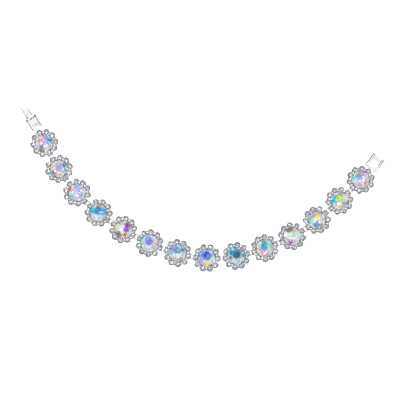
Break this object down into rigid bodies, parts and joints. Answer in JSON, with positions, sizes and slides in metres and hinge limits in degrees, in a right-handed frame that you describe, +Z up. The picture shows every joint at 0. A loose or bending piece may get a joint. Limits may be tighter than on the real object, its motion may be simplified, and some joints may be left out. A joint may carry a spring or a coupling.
{
  "type": "rhinestone flower bracelet",
  "caption": "Open bracelet of round flower links, each a large faceted stone ringed by small clear ones, joined by flat rings, with a fold-over clasp and its catch frame.",
  "frame": {"origin": "on the surface the bracelet lies on, below the middle of its bounding box at rest", "axes": "+Z up out of the surface, towards the faces of the stones; +X from the clasp end to the catch end; +Y towards the open side of the arc"},
  "size_m": [0.1494, 0.0686, 0.0041],
  "materials": {
    "plated_metal": "polished bright silver-coloured plating",
    "clear_crystal": "clear faceted crystal with a foil back",
    "coated_crystal": "faceted crystal with an iridescent coat and a foil back"
  },
  "bodies": {
    "flower_01": {"setting_01": "plated_metal", "centre_stone_01": "coated_crystal", "halo_stones_01": "clear_crystal"},
    "flower_02": {"setting_02": "plated_metal", "centre_stone_02": "coated_crystal", "halo_stones_02": "clear_crystal"},
    "flower_03": {"setting_03": "plated_metal", "centre_stone_03": "coated_crystal", "halo_stones_03": "clear_crystal"},
    "flower_04": {"setting_04": "plated_metal", "centre_stone_04": "coated_crystal", "halo_stones_04": "clear_crystal"},
    "flower_05": {"setting_05": "plated_metal", "centre_stone_05": "coated_crystal", "halo_stones_05": "clear_crystal"},
    "flower_06": {"setting_06": "plated_metal", "centre_stone_06": "coated_crystal", "halo_stones_06": "clear_crystal"},
    "flower_07": {"setting_07": "plated_metal", "centre_stone_07": "coated_crystal", "halo_stones_07": "clear_crystal"},
    "flower_08": {"setting_08": "plated_metal", "centre_stone_08": "coated_crystal", "halo_stones_08": "clear_crystal"},
    "flower_09": {"setting_09": "plated_metal", "centre_stone_09": "coated_crystal", "halo_stones_09": "clear_crystal"},
    "flower_10": {"setting_10": "plated_metal", "centre_stone_10": "coated_crystal", "halo_stones_10": "clear_crystal"},
    "flower_11": {"setting_11": "plated_metal", "centre_stone_11": "coated_crystal", "halo_stones_11": "clear_crystal"},
    "flower_12": {"setting_12": "plated_metal", "centre_stone_12": "coated_crystal", "halo_stones_12": "clear_crystal"},
    "flower_13": {"setting_13": "plated_metal", "centre_stone_13": "coated_crystal", "halo_stones_13": "clear_crystal"},
    "flower_14": {"setting_14": "plated_metal", "centre_stone_14": "coated_crystal", "halo_stones_14": "clear_crystal"},
    "ring_01": {"link_ring_01": "plated_metal"},
    "ring_02": {"link_ring_02": "plated_metal"},
    "ring_03": {"link_ring_03": "plated_metal"},
    "ring_04": {"link_ring_04": "plated_metal"},
    "ring_05": {"link_ring_05": "plated_metal"},
    "ring_06": {"link_ring_06": "plated_metal"},
    "ring_07": {"link_ring_07": "plated_metal"},
    "ring_08": {"link_ring_08": "plated_metal"},
    "ring_09": {"link_ring_09": "plated_metal"},
    "ring_10": {"link_ring_10": "plated_metal"},
    "ring_11": {"link_ring_11": "plated_metal"},
    "ring_12": {"link_ring_12": "plated_metal"},
    "ring_13": {"link_ring_13": "plated_metal"},
    "clasp_base": {"clasp_base": "plated_metal", "clasp_hinge_pin": "plated_metal"},
    "clasp_cover": {"clasp_cover": "plated_metal"},
    "catch_frame": {"catch_frame": "plated_metal"}
  },
  "joints": [
    {"name": "wrap_01", "type": "hinge", "parent": "flower_02", "child": "ring_01", "pos_m": [-0.06136, 0.01199, 0.00082], "axis": [-0.848, -0.5299, 0], "range_deg": [-5, 26]},
    {"name": "turn_01", "type": "hinge", "parent": "ring_01", "child": "flower_01", "pos_m": [-0.0625, 0.01382, 0.00082], "axis": [0, 0, 1], "range_deg": [-10, 22]},
    {"name": "wrap_02", "type": "hinge", "parent": "flower_03", "child": "ring_02", "pos_m": [-0.05464, 0.00188, 0.00082], "axis": [-0.7547, -0.6561, 0], "range_deg": [-5, 26]},
    {"name": "turn_02", "type": "hinge", "parent": "ring_02", "child": "flower_02", "pos_m": [-0.05606, 0.00351, 0.00082], "axis": [0, 0, 1], "range_deg": [-7, 25]},
    {"name": "wrap_03", "type": "hinge", "parent": "flower_04", "child": "ring_03", "pos_m": [-0.0464, -0.00703, 0.00082], "axis": [-0.6293, -0.7771, 0], "range_deg": [-5, 26]},
    {"name": "turn_03", "type": "hinge", "parent": "ring_03", "child": "flower_03", "pos_m": [-0.04808, -0.00567, 0.00082], "axis": [0, 0, 1], "range_deg": [-6, 26]},
    {"name": "wrap_04", "type": "hinge", "parent": "flower_05", "child": "ring_04", "pos_m": [-0.03678, -0.01443, 0.00082], "axis": [-0.515, -0.8572, 0], "range_deg": [-5, 26]},
    {"name": "turn_04", "type": "hinge", "parent": "ring_04", "child": "flower_04", "pos_m": [-0.03863, -0.01332, 0.00082], "axis": [0, 0, 1], "range_deg": [-8, 24]},
    {"name": "wrap_05", "type": "hinge", "parent": "flower_06", "child": "ring_05", "pos_m": [-0.02625, -0.0205, 0.00082], "axis": [-0.4226, -0.9063, 0], "range_deg": [-5, 26]},
    {"name": "turn_05", "type": "hinge", "parent": "ring_05", "child": "flower_05", "pos_m": [-0.02821, -0.01958, 0.00082], "axis": [0, 0, 1], "range_deg": [-10, 22]},
    {"name": "wrap_06", "type": "hinge", "parent": "flower_07", "child": "ring_06", "pos_m": [-0.0151, -0.02528, 0.00082], "axis": [-0.2588, -0.9659, 0], "range_deg": [-5, 26]},
    {"name": "turn_06", "type": "hinge", "parent": "ring_06", "child": "flower_06", "pos_m": [-0.01719, -0.02472, 0.00082], "axis": [0, 0, 1], "range_deg": [-6, 26]},
    {"name": "wrap_07", "type": "hinge", "parent": "flower_07", "child": "ring_07", "pos_m": [-0.00544, -0.02787, 0.00082], "axis": [0.2588, 0.9659, 0], "range_deg": [-5, 26]},
    {"name": "turn_07", "type": "hinge", "parent": "ring_07", "child": "flower_08", "pos_m": [-0.00335, -0.02843, 0.00082], "axis": [0, 0, 1], "range_deg": [-29, 3]},
    {"name": "wrap_08", "type": "hinge", "parent": "flower_08", "child": "ring_08", "pos_m": [0.00664, -0.02878, 0.00082], "axis": [0.0349, 0.9994, 0], "range_deg": [-5, 26]},
    {"name": "turn_08", "type": "hinge", "parent": "ring_08", "child": "flower_09", "pos_m": [0.0088, -0.02885, 0.00082], "axis": [0, 0, 1], "range_deg": [-30, 2]},
    {"name": "wrap_09", "type": "hinge", "parent": "flower_09", "child": "ring_09", "pos_m": [0.01858, -0.02677, 0.00082], "axis": [-0.2079, 0.9781, 0], "range_deg": [-5, 26]},
    {"name": "turn_09", "type": "hinge", "parent": "ring_09", "child": "flower_10", "pos_m": [0.02069, -0.02632, 0.00082], "axis": [0, 0, 1], "range_deg": [-24, 8]},
    {"name": "wrap_10", "type": "hinge", "parent": "flower_10", "child": "ring_10", "pos_m": [0.03009, -0.0229, 0.00082], "axis": [-0.342, 0.9397, 0], "range_deg": [-5, 26]},
    {"name": "turn_10", "type": "hinge", "parent": "ring_10", "child": "flower_11", "pos_m": [0.03212, -0.02217, 0.00082], "axis": [0, 0, 1], "range_deg": [-25, 7]},
    {"name": "wrap_11", "type": "hinge", "parent": "flower_11", "child": "ring_11", "pos_m": [0.04087, -0.01732, 0.00082], "axis": [-0.4848, 0.8746, 0], "range_deg": [-5, 26]},
    {"name": "turn_11", "type": "hinge", "parent": "ring_11", "child": "flower_12", "pos_m": [0.04276, -0.01627, 0.00082], "axis": [0, 0, 1], "range_deg": [-26, 6]},
    {"name": "wrap_12", "type": "hinge", "parent": "flower_12", "child": "ring_12", "pos_m": [0.05053, -0.00998, 0.00082], "axis": [-0.6293, 0.7771, 0], "range_deg": [-5, 26]},
    {"name": "turn_12", "type": "hinge", "parent": "ring_12", "child": "flower_13", "pos_m": [0.05221, -0.00862, 0.00082], "axis": [0, 0, 1], "range_deg": [-20, 12]},
    {"name": "wrap_13", "type": "hinge", "parent": "flower_13", "child": "ring_13", "pos_m": [0.05952, -0.0018, 0.00082], "axis": [-0.682, 0.7314, 0], "range_deg": [-5, 26]},
    {"name": "turn_13", "type": "hinge", "parent": "ring_13", "child": "flower_14", "pos_m": [0.0611, -0.00032, 0.00082], "axis": [0, 0, 1], "range_deg": [-20, 12]},
    {"name": "clasp_swing", "type": "hinge", "parent": "flower_01", "child": "clasp_base", "pos_m": [-0.06754, 0.02416, 0.00082], "axis": [-0.8387, -0.5446, 0], "range_deg": [-30, 75]},
    {"name": "clasp_fold", "type": "hinge", "parent": "clasp_base", "child": "clasp_cover", "pos_m": [-0.07054, 0.02877, 0.00135], "axis": [0.8387, 0.5446, 0], "range_deg": [0, 175]},
    {"name": "catch_swing", "type": "hinge", "parent": "flower_14", "child": "catch_frame", "pos_m": [0.06894, 0.00809, 0.00082], "axis": [-0.8192, 0.5736, 0], "range_deg": [-30, 75]}
  ]
}
